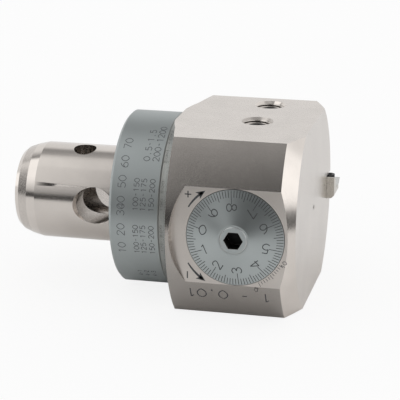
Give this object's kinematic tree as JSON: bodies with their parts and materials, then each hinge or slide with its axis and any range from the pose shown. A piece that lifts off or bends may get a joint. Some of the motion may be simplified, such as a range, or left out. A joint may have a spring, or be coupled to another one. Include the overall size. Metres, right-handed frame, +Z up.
{
  "type": "boring head",
  "caption": "Fine-adjustment boring head with a cylindrical spigot, graduated dial, radial tool carrier and indexable insert holder.",
  "frame": {"origin": "centre of the flange face, where the spigot leaves the head", "axes": "+X along the tool axis towards the cutting face, +Z up through the clamping flat, -Y towards the graduated dial"},
  "size_m": [0.1139, 0.0897, 0.0644],
  "materials": {
    "ground_steel": "satin turned and ground",
    "anodised_sleeve": "satin blue-grey",
    "anodised_dial": "satin blue-grey",
    "screw_steel": "satin",
    "hardened_steel": "ground",
    "spring_steel": "oiled",
    "bronze": "turned",
    "seal_rubber": "matte",
    "carrier_steel": "ground",
    "black_oxide": "black oxide",
    "pad_brass": "turned",
    "holder_steel": "dark burnished",
    "carbide": "ground carbide",
    "insert_screw_steel": "black"
  },
  "bodies": {
    "head": {"head_body": "ground_steel", "data_sleeve": "anodised_sleeve", "thrust_washer_outer": "hardened_steel", "thrust_washer_inner": "hardened_steel", "disc_spring": "spring_steel", "retaining_ring": "hardened_steel", "journal_bush": "bronze", "carrier_wiper": "seal_rubber", "guide_screw": "black_oxide", "guide_lock_screw": "black_oxide"},
    "adjuster": {"dial_ring": "anodised_dial", "adjusting_screw": "screw_steel", "dial_seal": "seal_rubber"},
    "carrier": {"tool_carrier": "carrier_steel", "carrier_nut": "bronze", "insert_holder": "holder_steel", "holder_bolts": "black_oxide", "holder_dowels": "hardened_steel", "cutting_insert": "carbide", "insert_screw": "insert_screw_steel"},
    "clamp_dial_side_pad": {"clamp_pad_dial_side": "pad_brass"},
    "clamp_insert_side_pad": {"clamp_pad_insert_side": "pad_brass"},
    "clamp_dial_side_screw": {"clamp_screw_dial_side": "black_oxide"},
    "clamp_insert_side_screw": {"clamp_screw_insert_side": "black_oxide"}
  },
  "joints": [
    {"name": "dial_turn", "type": "hinge", "parent": "head", "child": "adjuster", "pos_m": [0.0488, 0, 0], "axis": [0, 1, 0], "range_deg": [0, 19080]},
    {"name": "carrier_slide", "type": "slide", "parent": "head", "child": "carrier", "axis": [0, 1, 0], "range_m": [0, 0.0265]},
    {"name": "clamp_dial_side_lift", "type": "slide", "parent": "head", "child": "clamp_dial_side_pad", "axis": [0, 0, 1], "range_m": [0, 0.00075]},
    {"name": "clamp_dial_side_turn", "type": "hinge", "parent": "clamp_dial_side_pad", "child": "clamp_dial_side_screw", "pos_m": [0.0488, -0.0033, 0.024], "axis": [0, 0, 1], "range_deg": [0, 180]},
    {"name": "clamp_insert_side_lift", "type": "slide", "parent": "head", "child": "clamp_insert_side_pad", "axis": [0, 0, 1], "range_m": [0, 0.00075]},
    {"name": "clamp_insert_side_turn", "type": "hinge", "parent": "clamp_insert_side_pad", "child": "clamp_insert_side_screw", "pos_m": [0.0488, 0.02135, 0.024], "axis": [0, 0, 1], "range_deg": [0, 180]}
  ],
  "couplings": [
    {"joint": "dial_turn", "follows": "carrier_slide", "rad_per_m": 12566},
    {"joint": "clamp_dial_side_turn", "follows": "clamp_dial_side_lift", "rad_per_m": 4188.8},
    {"joint": "clamp_insert_side_turn", "follows": "clamp_insert_side_lift", "rad_per_m": 4188.8}
  ]
}
